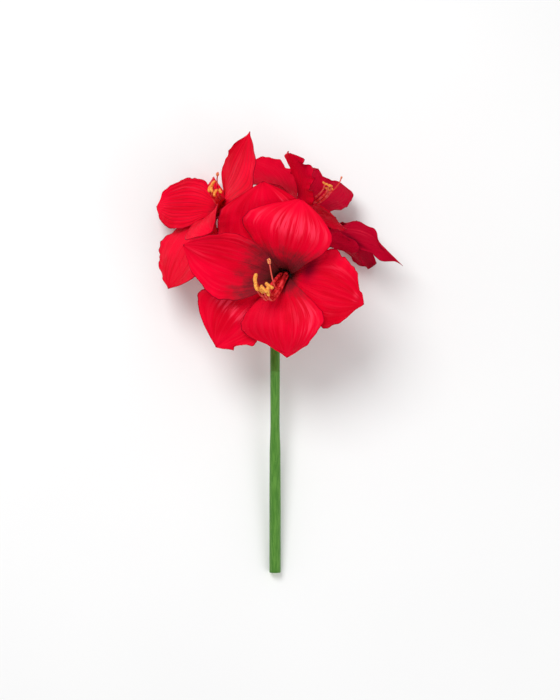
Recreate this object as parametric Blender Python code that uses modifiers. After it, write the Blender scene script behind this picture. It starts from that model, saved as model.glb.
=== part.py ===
"""A cut amaryllis: one stalk with four open blooms at its head, lying on its back.

Everything is placed first in the plant's own directions, with the origin in the middle of
the flower head: X to the right, Y up in line with the stalk and Z out of the front bloom.
One empty then lays the plant down, with its floor at Z = 0. All sizes are in metres.
"""

from dataclasses import dataclass
from math import cos, pi, radians, sin

import bmesh
import bpy
from mathutils import Matrix, Vector
from mathutils.geometry import interpolate_bezier

# Stalk: it runs along Y from its top, under the blooms, to the cut end.
STALK_TOP = -0.036
STALK_FOOT = -0.3415
STALK_TOP_RADIUS = 0.0080
STALK_NECK_RADIUS = 0.0053
STALK_FOOT_RADIUS = 0.0062

# Lying down on the cut end and two rear petals: the place of the head, and how it leans.
HEAD_PLACE = Vector((-0.00576, 0.10695, 0.05273))
HEAD_TILT = radians(7.88)
HEAD_ROLL = radians(-5.369)

# Flower stalks, each with its seed pod and the peg that the petals grow round. The pod's
# outline gives shares of its length and of its radius.
SEAT_GAP = 0.0003
PEDICEL_ROOT_RADIUS = 0.0028
PEDICEL_RADIUS = 0.0036
PEDICEL_SPREAD = 0.0046
OVARY_RADIUS = 0.0068
OVARY_LENGTH = 0.017
OVARY_OUTLINE = ((0.22, 0.80), (0.5, 1.0), (0.78, 0.96), (0.98, 0.98))
FLOWER_STALK_POINTS = 9
PEG_RADIUS = 0.0037
PEG_LENGTH = 0.012

# Petals: an inner and an outer ring of three in each bloom.
PETAL_THICKNESS = 0.0012
INNER_RADIUS = PEG_RADIUS + SEAT_GAP + PETAL_THICKNESS / 2
OUTER_RADIUS = INNER_RADIUS + 0.0019
INNER_START = 0.0032
OUTER_START = 0.0004
TUBE_ANGLE = 9.0
TUBE_HALF_WIDTH = 0.0046
TUBE_SPREAD = 0.75
PETAL_ROWS = 12
PETAL_COLUMNS = 8
STEPS_PER_ROW = 6
SMALLEST_BEND = 0.001

# Along a petal, as shares of its length: the tube's end, where the blade begins to open
# flat and is open, and where it begins to twist and to curl.
TUBE_END = 0.06
OPEN_START = 0.14
OPEN_END = 0.50
TWIST_START = 0.20
CURL_START = 0.42
TIP_ROUNDNESS = 2.2

# The ripple at a petal's sides fades in between these shares, and out before the tip.
RIPPLE_IN = (0.22, 0.50)
RIPPLE_OUT = (1.0, 0.9)
RIPPLE_EDGE = 2.5
RIPPLE_OFFSET = 0.23

# Stamens and pistil, which leave the peg's end. Each stamen starts at an azimuth on a ring
# and ends beside the anthers' centre, by so much to the right, upward and outward.
STAMEN_RING = 0.0027
STAMEN_COLLAR = 0.0011
FILAMENT_POINTS = 7
FILAMENT_ROOT_RADIUS = 0.0008
FILAMENT_TIP_RADIUS = 0.00056
FILAMENT_TUBE_SHARE = 0.36
FILAMENT_SAG_SHARE = 0.88
STYLE_SAG_SHARE = 0.80
ANTHER_LENGTH = 0.0088
ANTHER_WIDTH = 0.0026
STAMENS = (
    (140, -0.0075, 0.0060, 0.0010),
    (200, -0.0065, -0.0020, 0.0040),
    (245, -0.0022, -0.0070, -0.0030),
    (295, 0.0018, -0.0050, 0.0060),
    (340, 0.0055, -0.0075, 0.0020),
    (40, 0.0080, 0.0020, -0.0040),
)
STYLE_POINTS = 9
STYLE_RADIUS = 0.0009
STYLE_TIP_RADIUS = 0.0007
STIGMA_LENGTH = 0.0042
STIGMA_WIDTH = 0.0015

RED = (0.62, 0.008, 0.03)
GREEN = (0.16, 0.33, 0.07)
STAMEN_RED = (0.72, 0.05, 0.06)


@dataclass(frozen=True)
class Petal:
    """One petal's shape, with its angles in degrees and its sizes in metres."""

    azimuth: float
    length: float = 0.105
    width: float = 0.072
    flare: float = 62.0
    curl: float = 40.0
    cup: float = 18.0
    lean: float = 0.0
    swing: float = 0.0
    twist: float = 0.0
    wave: float = 0.0020
    waves: float = 2.5
    shift: float = 0.0
    point: float = 1.0
    skew: float = 0.0
    flare_end: float = 0.52
    opening: float = 1.0
    spread: float = 0.88
    widest: float = 0.60


@dataclass(frozen=True)
class Bloom:
    """A bloom: the foot of its petals, its axis and its six petals in turn."""

    name: str
    foot: tuple
    axis: tuple
    root_azimuth: float
    inner: tuple
    outer: tuple
    anthers: tuple = (0.0, 0.0, 0.062)
    stigma: tuple = (0.0, 0.004, 0.078)
    sag: float = 0.010
    style_sag: float = 0.0
    sway: float = 0.0


BLOOMS = (
    Bloom(
        "front",
        foot=(0.012, -0.014, 0.030),
        axis=(-0.11, -0.13, 1.00),
        root_azimuth=-90,
        anthers=(-0.0165, -0.004, 0.078),
        stigma=(-0.0078, 0.0205, 0.088),
        sag=0.037,
        style_sag=0.044,
        sway=0.018,
        inner=(
            Petal(
                53, length=0.119, width=0.106, flare=54, curl=72, cup=-12, swing=22, skew=0.1,
                spread=0.83,
            ),
            Petal(
                170, length=0.138, width=0.074, flare=68, curl=22, cup=16, swing=-10, twist=-12,
                skew=0.15,
            ),
            Petal(290, length=0.117, width=0.096, flare=58, curl=68, cup=-14, swing=-17),
        ),
        outer=(
            Petal(110, length=0.124, width=0.100, flare=84, curl=0, cup=0, swing=-10, skew=0.2),
            Petal(226, length=0.126, width=0.102, flare=84, curl=20, cup=0, skew=-0.22),
            Petal(347, length=0.109, width=0.086, flare=84, curl=14, cup=-8, swing=-6, skew=0.14),
        ),
    ),
    Bloom(
        "left",
        foot=(-0.036, 0.050, -0.013),
        axis=(-0.72, 0.36, 0.58),
        root_azimuth=180,
        anthers=(0.012, 0.010, 0.054),
        stigma=(0.019, 0.024, 0.062),
        sag=0.004,
        style_sag=-0.012,
        inner=(
            Petal(
                46, length=0.124, width=0.078, flare=66, curl=10, cup=12, lean=30, swing=-19,
                twist=24, point=1.4, skew=-0.3, spread=0.6, widest=0.5,
            ),
            Petal(183, length=0.104, width=0.064, flare=58, curl=26, cup=8, swing=4),
            Petal(
                302, length=0.098, width=0.070, flare=38, curl=60, cup=14, lean=8, swing=6,
                skew=-0.2, spread=0.56,
            ),
        ),
        outer=(
            Petal(3, length=0.082, width=0.070, flare=60, curl=50, cup=8, swing=-15, skew=-0.4),
            Petal(123, length=0.092, width=0.050, flare=82, curl=76, cup=0, swing=22),
            Petal(243, length=0.129, width=0.100, flare=82, curl=4, cup=0, swing=18, spread=0.94),
        ),
    ),
    Bloom(
        "right",
        foot=(0.014, 0.040, -0.005),
        axis=(0.66, 0.66, 0.20),
        root_azimuth=90,
        anthers=(0.000, 0.000, 0.062),
        stigma=(0.000, -0.002, 0.082),
        inner=(
            Petal(42, length=0.073, width=0.054, flare=36, curl=10, cup=10, swing=2, spread=0.42),
            Petal(
                162, length=0.090, width=0.066, flare=55, curl=10, cup=26, swing=-24, twist=22,
                point=0.6, spread=0.48,
            ),
            Petal(282, length=0.068, width=0.046, flare=30, curl=34, cup=8, swing=7, spread=0.28),
        ),
        outer=(
            Petal(
                350, length=0.084, width=0.066, flare=44, curl=20, cup=16, swing=4, point=0.7,
                skew=-0.1, spread=0.5,
            ),
            Petal(
                102, length=0.096, width=0.084, flare=95, curl=6, cup=20, swing=-20, twist=-52,
                skew=0.1, flare_end=0.38, spread=0.66,
            ),
            Petal(
                222, length=0.066, width=0.050, flare=60, curl=20, cup=10, swing=2, spread=0.38,
            ),
        ),
    ),
    Bloom(
        "back",
        foot=(0.036, 0.033, -0.031),
        axis=(0.90, -0.09, 0.0),
        root_azimuth=0,
        anthers=(0.000, 0.000, 0.048),
        stigma=(0.000, 0.001, 0.060),
        sag=0.002,
        inner=(
            Petal(
                20, length=0.080, width=0.044, flare=13, curl=10, cup=30, opening=0.4,
                spread=0.44,
            ),
            Petal(
                142, length=0.118, width=0.040, flare=24, curl=-12, cup=10, lean=36, swing=34,
                point=2.0, skew=-0.28, spread=0.85, widest=0.26,
            ),
            Petal(
                250, length=0.070, width=0.044, flare=18, curl=20, cup=30, swing=12, point=1.6,
                opening=0.4, spread=0.4,
            ),
        ),
        outer=(
            Petal(
                62, length=0.058, width=0.046, flare=18, curl=-6, cup=24, opening=0.5,
                spread=0.44,
            ),
            Petal(
                205, length=0.064, width=0.046, flare=26, curl=6, cup=24, opening=0.6,
                spread=0.5,
            ),
            Petal(
                320, length=0.082, width=0.054, flare=26, curl=10, cup=20, swing=6, opening=0.6,
                spread=0.5,
            ),
        ),
    ),
)


def smooth(low, high, x):
    """An even step from 0 at low to 1 at high."""
    t = min(max((x - low) / (high - low), 0.0), 1.0)
    return t * t * (3 - 2 * t)


def mix(a, b, share):
    """The value between a and b at that share of the way."""
    return a + (b - a) * share


def clear_scene():
    """Removes what the startup file holds."""
    for thing in list(bpy.data.objects):
        bpy.data.objects.remove(thing)


def material(name, color, roughness):
    """A plain material in the part's own colour."""
    made = bpy.data.materials.new(name)
    made.use_nodes = True
    shader = made.node_tree.nodes["Principled BSDF"]
    shader.inputs["Base Color"].default_value = (*color, 1.0)
    shader.inputs["Roughness"].default_value = roughness
    made.diffuse_color = (*color, 1.0)
    return made


def add_object(name, mesh, finish, plant):
    """Links a mesh as a named part of the plant."""
    thing = bpy.data.objects.new(name, mesh)
    plant["collection"].objects.link(thing)
    thing.parent = plant["empty"]
    mesh.materials.clear()
    mesh.materials.append(plant[finish])
    mesh.shade_smooth()
    return thing


def bloom_matrix(bloom):
    """The bloom's frame: Z out of its mouth, and Y as near the plant's up as it can be."""
    out = Vector(bloom.axis).normalized()
    right = Vector((0, 1, 0)).cross(out).normalized()
    up = out.cross(right)
    turned = Matrix((right, up, out)).transposed().to_4x4()
    return Matrix.Translation(bloom.foot) @ turned


def half_width(petal, u):
    """Half the petal's width at share u of its length."""
    full = petal.width / 2
    if u < petal.widest:
        return mix(TUBE_HALF_WIDTH, full, smooth(TUBE_END, petal.widest, u))
    beyond = (u - petal.widest) / (1 - petal.widest)
    return full * (1 - beyond**TIP_ROUNDNESS) ** petal.point


def midrib(petal, radius, start, rows):
    """Point, side, inner normal and distance from the axis along the middle of a petal."""
    turn = radians(petal.azimuth)
    out = Vector((cos(turn), sin(turn), 0))
    side = Vector((-sin(turn), cos(turn), 0))
    axis = Vector((0, 0, 1))
    point = out * radius + axis * start
    steps = rows * STEPS_PER_ROW
    found = []
    for step in range(steps + 1):
        u = step / steps
        opened = (petal.flare - TUBE_ANGLE) * smooth(TUBE_END, petal.flare_end, u)
        angle = radians(TUBE_ANGLE + opened + petal.curl * smooth(CURL_START, 1.0, u))
        yaw = radians(petal.lean) * smooth(OPEN_START, 1.0, u)
        rolled = radians(petal.twist) * smooth(TWIST_START, 1.0, u)
        ahead = sin(angle) * out + cos(angle) * axis
        along = cos(yaw) * ahead + sin(yaw) * side
        across = cos(yaw) * side - sin(yaw) * ahead
        inner = sin(angle) * axis - cos(angle) * out
        turned = cos(rolled) * across + sin(rolled) * inner
        normal = cos(rolled) * inner - sin(rolled) * across
        if step % STEPS_PER_ROW == 0:
            swing = radians(petal.swing) * smooth(TUBE_END, CURL_START, u)
            swung = Matrix.Rotation(swing, 3, "Z")
            found.append((swung @ point, swung @ turned, swung @ normal, out.dot(point)))
        point += along * petal.length / steps
    return found


def petal_point(petal, rib, u, v):
    """The point of a petal's middle surface at share u of its length and v of its half width."""
    point, across, normal, from_axis = rib
    opened = smooth(OPEN_START, OPEN_END, u) * petal.opening
    open_spread = petal.spread * (1.5 + 1.5 * petal.skew * v)
    room = from_axis * mix(max(petal.spread, TUBE_SPREAD), open_spread, opened)
    half = half_width(petal, u) * (1 + petal.skew * v)
    if half > 0:
        half = (half**-6 + room**-6) ** (-1 / 6)
    bend = mix(half / from_axis, radians(petal.cup), opened)
    bend = bend if abs(bend) > SMALLEST_BEND else SMALLEST_BEND
    reach = half / bend
    swell = 2 * pi * (petal.waves * u + petal.shift + (RIPPLE_OFFSET if v > 0 else 0.0))
    ripple = petal.wave * abs(v) ** RIPPLE_EDGE * sin(swell)
    ripple *= smooth(*RIPPLE_IN, u) * smooth(*RIPPLE_OUT, u)
    lift = reach * (1 - cos(bend * v)) + ripple
    return point + across * reach * sin(bend * v) + normal * lift


def petal_mesh(name, petal, radius, start):
    """A petal as one grid, bent into its form point by point."""
    ribs = midrib(petal, radius, start, PETAL_ROWS)
    bm = bmesh.new()
    bmesh.ops.create_grid(bm, x_segments=PETAL_COLUMNS, y_segments=PETAL_ROWS, size=1.0)
    for vertex in bm.verts:
        row = round((vertex.co.y + 1) / 2 * PETAL_ROWS)
        vertex.co = petal_point(petal, ribs[row], row / PETAL_ROWS, vertex.co.x)
    bmesh.ops.remove_doubles(bm, verts=bm.verts, dist=0.00005)
    bmesh.ops.triangulate(bm, faces=bm.faces)
    mesh = bpy.data.meshes.new(name)
    bm.to_mesh(mesh)
    bm.free()
    return mesh


def add_petal(name, petal, ring, bloom, plant):
    """One petal of the inner or outer ring of a bloom."""
    radius, start = (INNER_RADIUS, INNER_START) if ring == "inner" else (OUTER_RADIUS, OUTER_START)
    thing = add_object(name, petal_mesh(name, petal, radius, start), "petal", plant)
    thing.matrix_local = bloom_matrix(bloom)
    skin = thing.modifiers.new("thickness", "SOLIDIFY")
    skin.thickness = PETAL_THICKNESS
    skin.offset = 0.0
    return thing


def tube_object(name, points, radii, sides_level):
    """A round stem through points, as a curve with a radius at each of them."""
    curve = bpy.data.curves.new(name, "CURVE")
    curve.dimensions = "3D"
    curve.bevel_depth = 1.0
    curve.bevel_resolution = sides_level
    curve.use_fill_caps = True
    spline = curve.splines.new("POLY")
    spline.points.add(len(points) - 1)
    for target, point, radius in zip(spline.points, points, radii):
        target.co = (*point, 1.0)
        target.radius = radius
    return bpy.data.objects.new(name, curve)


def tapered(root, tip, count):
    """Radii that pass evenly from the root's to the tip's."""
    return [mix(root, tip, i / (count - 1)) for i in range(count)]


def mesh_of(thing):
    """A closed mesh of an object, which is then removed."""
    if thing.name not in bpy.context.scene.collection.objects:
        bpy.context.scene.collection.objects.link(thing)
    graph = bpy.context.evaluated_depsgraph_get()
    mesh = bpy.data.meshes.new_from_object(thing.evaluated_get(graph))
    bpy.data.objects.remove(thing)
    bm = bmesh.new()
    bm.from_mesh(mesh)
    bmesh.ops.remove_doubles(bm, verts=bm.verts, dist=0.00002)
    bmesh.ops.recalc_face_normals(bm, faces=bm.faces)
    bm.to_mesh(mesh)
    bm.free()
    return mesh


def grain(name, length, width, matrix):
    """A long rounded body, its length along X before the matrix places it."""
    bm = bmesh.new()
    bmesh.ops.create_uvsphere(bm, u_segments=6, v_segments=5, radius=0.5)
    bmesh.ops.rotate(bm, verts=bm.verts, matrix=Matrix.Rotation(pi / 2, 3, "Y"))
    bmesh.ops.scale(bm, verts=bm.verts, vec=(length, width, width))
    bmesh.ops.transform(bm, verts=bm.verts, matrix=matrix)
    bmesh.ops.recalc_face_normals(bm, faces=bm.faces)
    mesh = bpy.data.meshes.new(name)
    bm.to_mesh(mesh)
    bm.free()
    return bpy.data.objects.new(name, mesh)


def spun(bm, geometry, axis, steps):
    """Turns an outline once round an axis and closes the seam."""
    around = {"Y": (0, 1, 0), "Z": (0, 0, 1)}[axis]
    center = (0, 0, 0)
    bmesh.ops.spin(
        bm, geom=geometry, cent=center, axis=around, angle=2 * pi, steps=steps, use_merge=True
    )


def ring(name, radius, thickness, height):
    """A closed ring round the Z axis."""
    bm = bmesh.new()
    center = Vector((radius, 0, height))
    count = 6
    corners = []
    for i in range(count):
        turn = 2 * pi * i / count
        corners.append(bm.verts.new(center + Vector((cos(turn), 0, sin(turn))) * thickness))
    edges = [bm.edges.new((corners[i], corners[(i + 1) % count])) for i in range(count)]
    spun(bm, corners + edges, "Z", 12)
    bmesh.ops.recalc_face_normals(bm, faces=bm.faces)
    mesh = bpy.data.meshes.new(name)
    bm.to_mesh(mesh)
    bm.free()
    return bpy.data.objects.new(name, mesh)


def fused(name, body, others):
    """One closed mesh of a body and the bodies that touch it."""
    group = bpy.data.collections.new(name + "_pieces")
    bpy.context.scene.collection.children.link(group)
    bpy.context.scene.collection.objects.link(body)
    for other in others:
        group.objects.link(other)
    join = body.modifiers.new("join", "BOOLEAN")
    join.operation = "UNION"
    join.solver = "EXACT"
    join.operand_type = "COLLECTION"
    join.collection = group
    mesh = mesh_of(body)
    for other in list(group.objects):
        bpy.data.objects.remove(other)
    bpy.data.collections.remove(group)
    return mesh


def solid_of(name, thing):
    """A plain mesh object in place of a curve object."""
    return bpy.data.objects.new(name, mesh_of(thing))


def filament_points(bloom, start, end):
    """A stamen's path: out of the tube, sagging, then rising to its anther."""
    across = mix(start.x, end.x, 0.35) + bloom.sway
    sagged = Vector((across, end.y - bloom.sag, end.z * FILAMENT_SAG_SHARE))
    lead = start + Vector((start.x * 1.2, start.y * 0.6, end.z * FILAMENT_TUBE_SHARE))
    return interpolate_bezier(start, lead, sagged, end, FILAMENT_POINTS)


def add_stamens(bloom, plant):
    """Six stamens that grow from one collar, fused into one body."""
    height = PEG_LENGTH + SEAT_GAP + STAMEN_COLLAR
    center = Vector(bloom.anthers)
    pieces = []
    for azimuth, right, up, out in STAMENS:
        turn = radians(azimuth)
        start = Vector((cos(turn) * STAMEN_RING, sin(turn) * STAMEN_RING, height))
        end = center + Vector((right, up, out))
        path = filament_points(bloom, start, end)
        radii = tapered(FILAMENT_ROOT_RADIUS, FILAMENT_TIP_RADIUS, FILAMENT_POINTS)
        pieces.append(solid_of("filament", tube_object("filament_curve", path, radii, 1)))
        tip = (path[-1] - path[-2]).normalized()
        crosswise = Vector((0, 0.5, 1)).cross(tip).normalized()
        level = tip.cross(crosswise)
        turned = Matrix((crosswise, level, tip)).transposed().to_4x4()
        place = Matrix.Translation(end) @ turned @ Matrix.Rotation(turn * 1.7, 4, "Z")
        pieces.append(grain("anther", ANTHER_LENGTH, ANTHER_WIDTH, place))
    collar = ring("collar", STAMEN_RING, STAMEN_COLLAR, height)
    name = f"{bloom.name}_stamens"
    thing = add_object(name, fused(name, collar, pieces), "stamen", plant)
    thing.matrix_local = bloom_matrix(bloom)


def add_pistil(bloom, plant):
    """The style, which passes through the stamens' collar, and its three-lobed stigma."""
    start = Vector((0, 0, PEG_LENGTH + SEAT_GAP))
    end = Vector(bloom.stigma)
    leave = start + Vector((0, 0, 0.004))
    sagged = Vector((end.x * 0.3 + bloom.sway, -bloom.style_sag, end.z * STYLE_SAG_SHARE))
    lead = leave + Vector((0, 0, 0.016))
    path = [start, *interpolate_bezier(leave, lead, sagged, end, STYLE_POINTS)]
    radii = [STYLE_RADIUS, *tapered(STYLE_RADIUS, STYLE_TIP_RADIUS, STYLE_POINTS)]
    body = solid_of("style", tube_object("style_curve", path, radii, 1))
    tip = (path[-1] - path[-2]).normalized()
    right = Vector((0, 1, 0)).cross(tip).normalized()
    turned = Matrix((right, tip.cross(right), tip)).transposed().to_4x4()
    lobes = []
    for turn in (90, 210, 330):
        spread = Matrix.Rotation(radians(turn), 4, "Z") @ Matrix.Rotation(radians(-40), 4, "Y")
        outward = Matrix.Translation((STIGMA_LENGTH * 0.36, 0, 0))
        place = Matrix.Translation(end) @ turned @ spread @ outward
        lobes.append(grain("lobe", STIGMA_LENGTH, STIGMA_WIDTH, place))
    name = f"{bloom.name}_pistil"
    thing = add_object(name, fused(name, body, lobes), "stamen", plant)
    thing.matrix_local = bloom_matrix(bloom)


def add_pedicel(bloom, plant):
    """A flower stalk that bends from the stalk's top to a bloom, with its seed pod and peg."""
    turn = radians(bloom.root_azimuth)
    root = Vector((cos(turn) * PEDICEL_SPREAD, STALK_TOP + SEAT_GAP, -sin(turn) * PEDICEL_SPREAD))
    frame = bloom_matrix(bloom)
    out = frame.to_3x3() @ Vector((0, 0, 1))
    foot = frame.translation
    pod_foot = foot - out * OVARY_LENGTH
    rise = root + Vector((0, 0.0015, 0))
    reach = (pod_foot - rise).length
    outward = Vector((root.x, 0, root.z)).normalized()
    lead = rise + (Vector((0, 1, 0)) + outward * 0.35) * reach * 0.35
    arrive = pod_foot - out * min(reach * 0.5, 0.014)
    points = [root, *interpolate_bezier(rise, lead, arrive, pod_foot, FLOWER_STALK_POINTS)]
    radii = [PEDICEL_ROOT_RADIUS]
    radii += tapered(PEDICEL_ROOT_RADIUS, PEDICEL_RADIUS, FLOWER_STALK_POINTS)
    for share, radius in OVARY_OUTLINE:
        points.append(pod_foot + out * OVARY_LENGTH * share)
        radii.append(OVARY_RADIUS * radius)
    points += [foot, foot + out * PEG_LENGTH]
    radii += [PEG_RADIUS, PEG_RADIUS]
    name = f"{bloom.name}_flower_stalk"
    add_object(name, mesh_of(tube_object(name, points, radii, 2)), "green", plant)


def build_stalk(plant):
    """The main stalk, turned from its outline round the Y axis."""
    outline = (
        (STALK_FOOT_RADIUS, STALK_FOOT),
        (STALK_FOOT_RADIUS, STALK_FOOT + 0.068),
        (STALK_FOOT_RADIUS * 0.97, STALK_FOOT + 0.130),
        (STALK_NECK_RADIUS * 0.96, STALK_FOOT + 0.164),
        (STALK_NECK_RADIUS, STALK_FOOT + 0.222),
        (STALK_NECK_RADIUS, STALK_TOP - 0.030),
        (STALK_NECK_RADIUS * 1.12, STALK_TOP - 0.016),
        (STALK_TOP_RADIUS, STALK_TOP - 0.004),
        (STALK_TOP_RADIUS, STALK_TOP),
    )
    bm = bmesh.new()
    verts = [bm.verts.new((0, outline[0][1], 0))]
    verts += [bm.verts.new((radius, height, 0)) for radius, height in outline]
    verts.append(bm.verts.new((0, STALK_TOP, 0)))
    edges = [bm.edges.new(pair) for pair in zip(verts, verts[1:])]
    spun(bm, verts + edges, "Y", 16)
    bmesh.ops.remove_doubles(bm, verts=bm.verts, dist=0.00002)
    bmesh.ops.recalc_face_normals(bm, faces=bm.faces)
    mesh = bpy.data.meshes.new("stalk")
    bm.to_mesh(mesh)
    bm.free()
    add_object("stalk", mesh, "green", plant)


def build_bloom(bloom, plant):
    """The six petals, the stalk, the stamens and the pistil of one bloom."""
    for ring, petals in (("inner", bloom.inner), ("outer", bloom.outer)):
        for number, petal in enumerate(petals, 1):
            add_petal(f"{bloom.name}_{ring}_petal_{number}", petal, ring, bloom, plant)
    add_pedicel(bloom, plant)
    add_stamens(bloom, plant)
    add_pistil(bloom, plant)


def main():
    clear_scene()
    collection = bpy.data.collections.new("amaryllis_stem")
    bpy.context.scene.collection.children.link(collection)
    empty = bpy.data.objects.new("head_of_stalk", None)
    collection.objects.link(empty)
    empty.location = HEAD_PLACE
    empty.rotation_euler = (HEAD_TILT, HEAD_ROLL, 0)
    plant = {
        "collection": collection,
        "empty": empty,
        "petal": material("petal_red", RED, 0.5),
        "green": material("stalk_green", GREEN, 0.45),
        "stamen": material("stamen_red", STAMEN_RED, 0.5),
    }
    build_stalk(plant)
    for bloom in BLOOMS:
        build_bloom(bloom, plant)


main()
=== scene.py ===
"""The finish of a cut amaryllis stem: waved petals, stamens, pistils, stalks and a plain stage."""

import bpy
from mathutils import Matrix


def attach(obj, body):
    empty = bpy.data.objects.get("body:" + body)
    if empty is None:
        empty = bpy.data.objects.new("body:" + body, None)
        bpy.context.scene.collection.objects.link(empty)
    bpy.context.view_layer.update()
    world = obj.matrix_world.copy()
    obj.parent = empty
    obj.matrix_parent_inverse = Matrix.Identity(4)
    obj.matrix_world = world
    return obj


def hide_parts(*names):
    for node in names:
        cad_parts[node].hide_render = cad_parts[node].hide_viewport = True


bl_info = {
    "name": "Amaryllis Stem",
    "version": (1, 0, 0),
    "blender": (4, 5, 0),
    "location": "View3D > Sidebar > Amaryllis",
    "description": "Builds the petals, stamens, pistils and stalks of a cut amaryllis stem",
    "category": "Add Mesh",
}

from dataclasses import dataclass
from math import atan2, cos, exp, pi, radians, sin

import bmesh
import bpy
from bpy.props import FloatProperty, FloatVectorProperty, IntProperty, PointerProperty
from bpy.types import Operator, Panel, PropertyGroup
from mathutils import Matrix, Vector, noise
from mathutils.geometry import interpolate_bezier

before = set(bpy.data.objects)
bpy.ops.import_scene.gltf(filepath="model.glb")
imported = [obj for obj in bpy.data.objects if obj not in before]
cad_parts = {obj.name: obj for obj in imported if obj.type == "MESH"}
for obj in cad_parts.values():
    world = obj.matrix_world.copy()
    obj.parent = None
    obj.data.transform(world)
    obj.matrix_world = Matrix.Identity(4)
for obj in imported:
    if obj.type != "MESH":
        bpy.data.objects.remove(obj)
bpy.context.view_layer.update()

# The plant's own directions: X to the right, Y in line with the stalk, Z out of the front
# bloom, with the origin in the middle of the flower head. PLANT lays them down.
HEAD_PLACE = Vector((-0.00576, 0.10695, 0.05273))
HEAD_TILT = radians(7.88)
HEAD_ROLL = radians(-5.369)
LEANING = Matrix.Rotation(HEAD_ROLL, 4, "Y") @ Matrix.Rotation(HEAD_TILT, 4, "X")
PLANT = Matrix.Translation(HEAD_PLACE) @ LEANING

# Stalk. Its places are along the plant's Y, and its outline gives radius and place.
STALK_TOP = -0.036
STALK_FOOT = -0.3415
STALK_TOP_RADIUS = 0.0080
STALK_NECK_RADIUS = 0.0053
STALK_FOOT_RADIUS = 0.0062
STALK_OUTLINE = (
    (STALK_FOOT_RADIUS, STALK_FOOT + 0.068),
    (STALK_FOOT_RADIUS * 0.97, STALK_FOOT + 0.130),
    (STALK_NECK_RADIUS * 0.96, STALK_FOOT + 0.164),
    (STALK_NECK_RADIUS, STALK_FOOT + 0.222),
    (STALK_NECK_RADIUS, STALK_TOP - 0.030),
    (STALK_NECK_RADIUS * 1.12, STALK_TOP - 0.016),
    (STALK_TOP_RADIUS, STALK_TOP - 0.004),
)
STALK_UNEVEN = 0.012
CUT_RIM = 0.0007
CUT_DEPTH = 0.00012

# Flower stalks with their seed pods, and the peg that each pod holds inside its petals. The
# outline gives shares of the pod's length and radius.
SEAT_GAP = 0.0003
PEDICEL_ROOT_RADIUS = 0.0028
PEDICEL_RADIUS = 0.0036
PEDICEL_SPREAD = 0.0046
PEDICEL_RISE = 0.0015
PEDICEL_BEND = 0.35
PEDICEL_ARRIVAL = 0.014
PEDICEL_STEPS = 30
PEDICEL_SIDES = 24
OVARY_RADIUS = 0.0068
OVARY_LENGTH = 0.017
OVARY_OUTLINE = ((0.22, 0.80), (0.5, 1.0), (0.78, 0.96), (0.98, 0.98))
OVARY_STEPS = 24
OVARY_GROOVES = 0.16
PEG_RADIUS = 0.0037
PEG_LENGTH = 0.012
# The peg's near-black colours are painted shade deep in the funnel.
PEG_COLORS = ((0.02, 0.004, 0.004), (0.05, 0.03, 0.012))

# Petals. A seat is how far from the bloom's axis, and how far out along it, a petal starts.
CORE_THICKNESS = 0.0012
INNER_RADIUS = PEG_RADIUS + SEAT_GAP + CORE_THICKNESS / 2
SEATS = {"inner": (INNER_RADIUS, 0.0032), "outer": (INNER_RADIUS + 0.0019, 0.0004)}
TUBE_ANGLE = 9.0
TUBE_HALF_WIDTH = 0.0046
TUBE_SPREAD = 0.75
OPEN_ROOM = 1.5
ROOM_POWER = 6
TIP_ROUNDNESS = 2.2
SMALLEST_BEND = 0.001
THIN_SHARE = 0.42
MERGE_DISTANCE = 0.00003

# Where along a petal, as shares of its length, its parts begin and end.
TUBE_END = 0.06
OPEN_START = 0.14
OPEN_END = 0.50
TWIST_START = 0.20
CURL_START = 0.42

# The broad waves of a petal's margin, which swell and fade between those shares.
RIPPLE_HEIGHT = 0.0020
RIPPLE_COUNT = 2.5
RIPPLE_OFFSET = 0.23
RIPPLE_EDGE = 2.5
RIPPLE_IN = (0.22, 0.50)
RIPPLE_OUT = (1.0, 0.9)

# Fine forms of a petal. A scale is across the blade, along it and from petal to petal. A
# scallop's numbers are its height, and how fast it changes along, by side and by petal.
SWELL_SCALE = (2.1, 4.2, 7.3)
FRILL_SCALE = (1.0, 15.0, 3.1)
FRILL_EDGE = 5
FRILL_GAIN = 2.2
VEIN_COUNT = 6.5
GROOVE_WIDTH = 0.07
SCALLOPS = ((1.0, 11, 5.0, 5.7), (0.7, 27, 9.0, 2.3))

# Stamens: azimuth at the collar, then how far right, up and out of the anthers' centre.
STAMEN_RING = 0.0027
STAMEN_COLLAR = 0.0011
COLLAR_POINTS = 24
COLLAR_SIDES = 10
COLLAR_LAP = 0.0001
FILAMENT_TUBE_SHARE = 0.36
FILAMENT_SAG_SHARE = 0.88
STAMENS = (
    (140, -0.0075, 0.0060, 0.0010),
    (200, -0.0065, -0.0020, 0.0040),
    (245, -0.0022, -0.0070, -0.0030),
    (295, 0.0018, -0.0050, 0.0060),
    (340, 0.0055, -0.0075, 0.0020),
    (40, 0.0062, -0.0025, -0.0040),
)
ANTHER_LIE = Vector((0.45, -1.0, 0.2))
ANTHER_FAN = 0.6
ANTHER_SIDES = 20
ANTHER_RINGS = 14
ANTHER_SEAM = 0.28
ANTHER_LUMPS = 0.10
ANTHER_BEND = 0.0011

# Pistils. A lobe's outline gives how far up and how far out it goes, as shares of its length.
STYLE_FOOT = 0.004
STYLE_LEAD = 0.016
STYLE_SAG_SHARE = 0.80
STYLE_TAPER = 0.78
LOBE_TURNS = (90, 210, 330)
LOBE_STEPS = 5
LOBE_OUTLINE = ((0.0, 0.0), (0.35, 0.11), (0.7, 0.16), (1.0, 0.14))

# The camera stands in front of the front bloom, level with the middle of the picture. The
# lights' places are in the plant's own directions.
PICTURE = (560, 700)
HEAD_PIXEL = (275.0, 262.0)
METRES_PER_PIXEL = 0.0011
CAMERA_DISTANCE = 2.0
SENSOR = 36.0
KEY_PLACE = (-0.6, 1.0, 1.7)
FILL_PLACE = (1.0, -0.9, 1.3)
LIGHT_SIZE = 1.2
FLOOR_HALF = 20.0


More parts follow.
